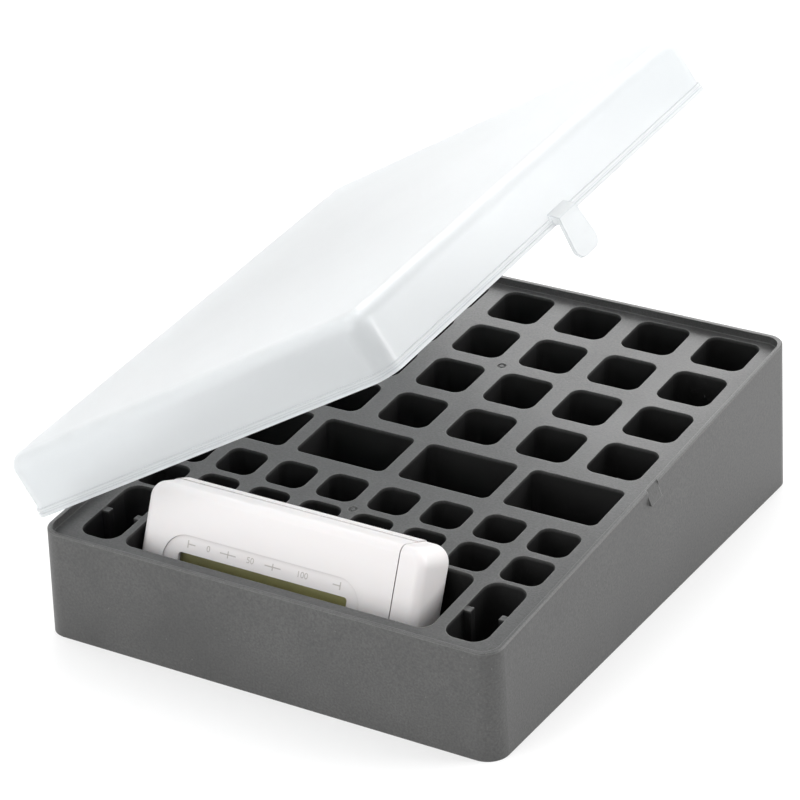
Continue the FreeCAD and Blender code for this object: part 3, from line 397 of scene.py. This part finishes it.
def print_bar(form, across, up, width, height):
    """A thin bar of ink, its middle across and up on the tester's face."""
    middle = Matrix.Translation((across, panel_depth - print_thickness / 2, up))
    sides = Matrix.Diagonal((width, print_thickness, height, 1.0))
    bmesh.ops.create_cube(form, size=1.0, matrix=middle @ sides)


scale_height = 0.0227
stroke = 0.00028
scale_form = bmesh.new()
for across, inward in ((-0.0272, 1), (0.0188, -1)):
    print_bar(scale_form, across, scale_height, stroke, 0.0020)
    print_bar(scale_form, across + inward * 0.0011, scale_height, 0.0022, stroke)
for across in (-0.0150, -0.0014):
    print_bar(scale_form, across, scale_height, stroke, 0.0018)
    print_bar(scale_form, across, scale_height, 0.0048, stroke)
for across, digits in ((-0.0210, "0"), (-0.0082, "50"), (0.0075, "100")):
    number = bpy.data.curves.new("number", "FONT")
    number.body = digits
    number.size = 0.0023
    number.align_x = "CENTER"
    number.align_y = "CENTER"
    number.extrude = print_thickness / 2
    written = bpy.data.objects.new("number", number)
    bpy.context.scene.collection.objects.link(written)
    bpy.context.view_layer.update()
    drawn_text = written.evaluated_get(bpy.context.evaluated_depsgraph_get())
    shape = bpy.data.meshes.new_from_object(drawn_text)
    upright = Matrix.Translation((across, panel_depth - print_thickness / 2, scale_height))
    shape.transform(upright @ Matrix.Rotation(math.radians(90), 4, "X"))
    scale_form.from_mesh(shape)
    bpy.data.objects.remove(written)
scale_form.transform(tester_pose)
scale_mesh = bpy.data.meshes.new("scale_print")
scale_form.to_mesh(scale_mesh)
scale_form.free()
scale_print = bpy.data.objects.new("scale_print", scale_mesh)
bpy.context.scene.collection.objects.link(scale_print)
cover(scale_print, print_ink)
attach(scale_print, "tester")

# Window: a clear sheet of cast PMMA, cut out and glued behind the front shell. Its
# polished faces show the display and a little of the room.
clear_sheet, tree, output = new_material("pmma_cast_clear")
sheet = add_node(tree, "ShaderNodeBsdfPrincipled", {
    "Base Color": linear("fbfdf8"),
    "Roughness": 0.04,
    "IOR": 1.49,
    "Transmission Weight": 1.0,
})
# lamps shine through it on to the display
unshaded = add_node(tree, "ShaderNodeBsdfTransparent", {"Color": linear("f2f4ee")})
surface = add_node(tree, "ShaderNodeMixShader", {
    "Fac": add_node(tree, "ShaderNodeLightPath").outputs["Is Shadow Ray"],
    1: sheet.outputs[0],
    2: unshaded.outputs[0],
})
tree.links.new(surface.outputs[0], output.inputs["Surface"])
cover(nodes["tester_window"], clear_sheet)

# Display: a reflective twisted-nematic glass. With no segment driven it is plain
# olive, painted a little lighter towards the right as a painted highlight where the film catches
# the light.
display_glass, tree, output = new_material("liquid_crystal_glass_olive")
place = add_node(tree, "ShaderNodeTexCoord").outputs["Object"]
across = add_node(tree, "ShaderNodeSeparateXYZ", {"Vector": place})
painted_highlight_sweep = add_node(tree, "ShaderNodeMapRange", {
    "Value": across.outputs["X"], "From Min": -0.036, "From Max": 0.018,
})
# painted highlight: the olive lightens towards the right
film_with_painted_highlight = add_node(tree, "ShaderNodeMix", {
    0: painted_highlight_sweep.outputs["Result"], 6: linear("9b9564"), 7: linear("b8b274"),
}, data_type="RGBA")
surface = add_node(tree, "ShaderNodeBsdfPrincipled", {
    "Base Color": film_with_painted_highlight.outputs[2],
    "Roughness": 0.3,
    "IOR": 1.52,
})
tree.links.new(surface.outputs[0], output.inputs["Surface"])
cover(nodes["display_glass"], display_glass)

# Connector strip: layered silicone rubber between the glass and the board, dark
# carbon layers 0.1 mm apart in a paler rubber.
strip_rubber, tree, output = new_material("silicone_rubber_layered")
place = add_node(tree, "ShaderNodeTexCoord").outputs["Object"]
# layers drawn 0.4 mm apart so that they show
layers = add_node(tree, "ShaderNodeTexWave", {
    "Vector": place, "Scale": 1 / 0.0008,
}, bands_direction="X")
dark = add_node(tree, "ShaderNodeMix", {
    0: layers.outputs["Fac"], 6: linear("1c1c1e"), 7: linear("6a6a6c"),
}, data_type="RGBA")
surface = add_node(tree, "ShaderNodeBsdfPrincipled", {
    "Base Color": dark.outputs[2], "Roughness": 0.65,
})
tree.links.new(surface.outputs[0], output.inputs["Surface"])
cover(nodes["connector_strip"], strip_rubber)

# Board: glass-epoxy laminate under green solder resist, with the copper's raised
# tracks showing through.
laminate, tree, output = new_material("epoxy_laminate_green_resist")
place = add_node(tree, "ShaderNodeTexCoord").outputs["Object"]
# tracks and gaps of about 0.8 mm
tracks = add_node(tree, "ShaderNodeTexVoronoi", {
    "Vector": place, "Scale": 1 / 0.0032,
}, distance="MANHATTAN")
raised = add_node(tree, "ShaderNodeMapRange", {
    "Value": tracks.outputs["Distance"],
    "From Min": 0.35,
    "From Max": 0.4,
    "To Min": 0.0,
    "To Max": 1.0,
})
resist = add_node(tree, "ShaderNodeMix", {
    0: raised.outputs["Result"], 6: linear("14572c"), 7: linear("1f7a3e"),
}, data_type="RGBA")
bump = add_node(tree, "ShaderNodeBump", {
    "Height": raised.outputs["Result"], "Strength": 0.4, "Distance": 0.0001,
})
surface = add_node(tree, "ShaderNodeBsdfPrincipled", {
    "Base Color": resist.outputs[2],
    "Roughness": 0.3,
    "Normal": bump.outputs["Normal"],
    "IOR": 1.55,
})
tree.links.new(surface.outputs[0], output.inputs["Surface"])
cover(nodes["circuit_board"], laminate)

# Chip and resistors: a drop of cured black epoxy over the chip, and ceramic
# chip resistors with a black glaze.
black_epoxy, tree, output = new_material("epoxy_cured_black")
ripple = add_node(tree, "ShaderNodeTexNoise", {
    "Vector": add_node(tree, "ShaderNodeTexCoord").outputs["Object"],
    "Scale": 1 / 0.002,
    "Detail": 2.0,
})
bump = add_node(tree, "ShaderNodeBump", {
    "Height": ripple.outputs["Fac"], "Strength": 0.15, "Distance": 0.0003,
})
surface = add_node(tree, "ShaderNodeBsdfPrincipled", {
    "Base Color": linear("161617"),
    "Roughness": 0.22,
    "Normal": bump.outputs["Normal"],
    "IOR": 1.55,
})
tree.links.new(surface.outputs[0], output.inputs["Surface"])
cover(nodes["chip_blob"], black_epoxy)
cover(nodes["board_resistors"], black_epoxy)

# Screws: cold-headed steel, zinc plated and tumbled, with a slightly mottled shine.
# They hold the board, the rear shell and the jaw.
zinc_steel, tree, output = new_material("steel_zinc_plated")
mottle = add_node(tree, "ShaderNodeTexNoise", {
    "Vector": add_node(tree, "ShaderNodeTexCoord").outputs["Object"],
    "Scale": 1 / 0.0008,
    "Detail": 3.0,
})
shine = add_node(tree, "ShaderNodeMapRange", {
    "Value": mottle.outputs["Fac"], "To Min": 0.25, "To Max": 0.45,
})
surface = add_node(tree, "ShaderNodeBsdfPrincipled", {
    "Base Color": linear("c3c4c6"),
    "Metallic": 1.0,
    "Roughness": shine.outputs["Result"],
})
tree.links.new(surface.outputs[0], output.inputs["Surface"])
for name in ("board_screws", "shell_screws", "jaw_screw"):
    cover(nodes[name], zinc_steel)

# Contacts for small cells: stamped brass strip, rolled bright, with fine rolling
# lines along it.
rolled_brass, tree, output = new_material("brass_rolled_bright")
place = add_node(tree, "ShaderNodeTexCoord").outputs["Object"]
drawn_out = add_node(tree, "ShaderNodeMapping", {"Vector": place, "Scale": (1.0, 1.0, 14.0)})
# lines 0.2 mm apart
lines = add_node(tree, "ShaderNodeTexNoise", {
    "Vector": drawn_out.outputs[0], "Scale": 1 / 0.0028, "Detail": 3.0,
})
shine = add_node(tree, "ShaderNodeMapRange", {
    "Value": lines.outputs["Fac"], "To Min": 0.18, "To Max": 0.42,
})
surface = add_node(tree, "ShaderNodeBsdfPrincipled", {
    "Base Color": linear("d9b66a"),
    "Metallic": 1.0,
    "Roughness": shine.outputs["Result"],
})
tree.links.new(surface.outputs[0], output.inputs["Surface"])
for name in ("fixed_contact", "jaw_contact", "contact_wiper"):
    cover(nodes[name], rolled_brass)

# Nine-volt contacts: pressed discs, nickel plated, scuffed by the cells that are
# pushed against them.
nickel, tree, output = new_material("nickel_plate_scuffed")
scuff = add_node(tree, "ShaderNodeTexNoise", {
    "Vector": add_node(tree, "ShaderNodeTexCoord").outputs["Object"],
    "Scale": 1 / 0.0006,
    "Detail": 4.0,
})
shine = add_node(tree, "ShaderNodeMapRange", {
    "Value": scuff.outputs["Fac"], "To Min": 0.12, "To Max": 0.38,
})
surface = add_node(tree, "ShaderNodeBsdfPrincipled", {
    "Base Color": linear("c9c6bf"),
    "Metallic": 1.0,
    "Roughness": shine.outputs["Result"],
})
tree.links.new(surface.outputs[0], output.inputs["Surface"])
cover(nodes["nine_volt_contacts"], nickel)

# Jaw spring: a close-wound extension spring of 0.4 mm wire, hooked over a peg at
# each end.
spring_wire, tree, output = new_material("steel_spring_wire_drawn")
drawn = add_node(tree, "ShaderNodeTexNoise", {
    "Vector": add_node(tree, "ShaderNodeTexCoord").outputs["Object"],
    "Scale": 1 / 0.0004,
    "Detail": 2.0,
})
shine = add_node(tree, "ShaderNodeMapRange", {
    "Value": drawn.outputs["Fac"], "To Min": 0.2, "To Max": 0.36,
})
surface = add_node(tree, "ShaderNodeBsdfPrincipled", {
    "Base Color": linear("a9aaad"),
    "Metallic": 1.0,
    "Roughness": shine.outputs["Result"],
})
tree.links.new(surface.outputs[0], output.inputs["Surface"])
cover(nodes["jaw_spring"], spring_wire)
